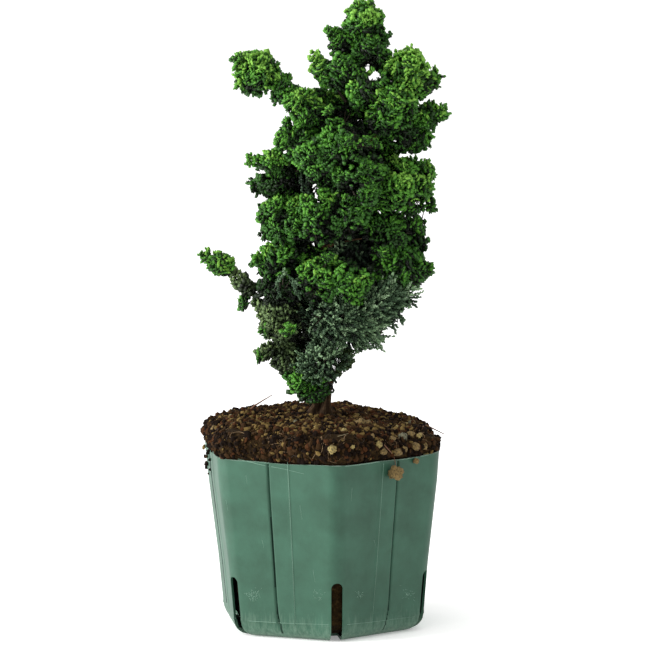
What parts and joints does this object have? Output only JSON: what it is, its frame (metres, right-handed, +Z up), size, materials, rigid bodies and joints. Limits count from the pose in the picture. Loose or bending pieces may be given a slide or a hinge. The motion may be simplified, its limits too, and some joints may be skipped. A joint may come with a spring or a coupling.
{
  "type": "dwarf hinoki cypress in a nursery pot",
  "caption": "Dwarf hinoki cypress with dense fan-shaped foliage on a short trunk, standing on its root ball in a green hexagonal slit pot.",
  "frame": {"origin": "centre of the pot's flat underside", "axes": "+Z up along the pot's axis towards the crown, +X to the right and +Y away from the side where a slit at a corner of the pot faces forward"},
  "size_m": [0.1293, 0.1316, 0.3294],
  "materials": {
    "pot": "satin",
    "soil": "matte",
    "bark": "matte",
    "foliage": "matte"
  },
  "bodies": {
    "root": {"bough_left_arm": "bark", "bough_left_high": "bark", "bough_left_low": "bark", "bough_right_arm": "bark", "bough_right_fan": "bark", "bough_right_high": "bark", "bough_right_leader": "bark", "bough_right_low": "bark", "bough_right_mid": "bark", "foliage_back_foot": "foliage", "foliage_back_high": "foliage", "foliage_back_left": "foliage", "foliage_back_low_left": "foliage", "foliage_back_low_right": "foliage", "foliage_back_right": "foliage", "foliage_back_right_high": "foliage", "foliage_centre_fan": "foliage", "foliage_centre_front": "foliage", "foliage_centre_left": "foliage", "foliage_centre_mid": "foliage", "foliage_centre_right": "foliage", "foliage_crown_top": "foliage", "foliage_foot_tuft": "foliage", "foliage_front_foot": "foliage", "foliage_front_low_left": "foliage", "foliage_front_low_right": "foliage", "foliage_left_arm_low": "foliage", "foliage_left_arm_tip": "foliage", "foliage_left_foot": "foliage", "foliage_left_hang": "foliage", "foliage_left_high_arm": "foliage", "foliage_left_high_tuft": "foliage", "foliage_left_low": "foliage", "foliage_left_low_arm": "foliage", "foliage_left_low_tuft": "foliage", "foliage_left_lower": "foliage", "foliage_left_mid": "foliage", "foliage_left_mid_front": "foliage", "foliage_left_shoulder": "foliage", "foliage_left_upper": "foliage", "foliage_right_arm": "foliage", "foliage_right_fan_high": "foliage", "foliage_right_fan_low": "foliage", "foliage_right_foot": "foliage", "foliage_right_high": "foliage", "foliage_right_high_arm": "foliage", "foliage_right_low": "foliage", "foliage_right_mid": "foliage", "foliage_right_shoulder": "foliage", "foliage_right_top": "foliage", "foliage_right_top_back": "foliage", "foliage_top_back": "foliage", "foliage_top_left": "foliage", "foliage_top_right": "foliage", "foliage_upper_front": "foliage", "foliage_upper_left": "foliage", "foliage_upper_left_tip": "foliage", "pot": "pot", "soil": "soil", "trunk": "bark"}
  },
  "joints": []
}
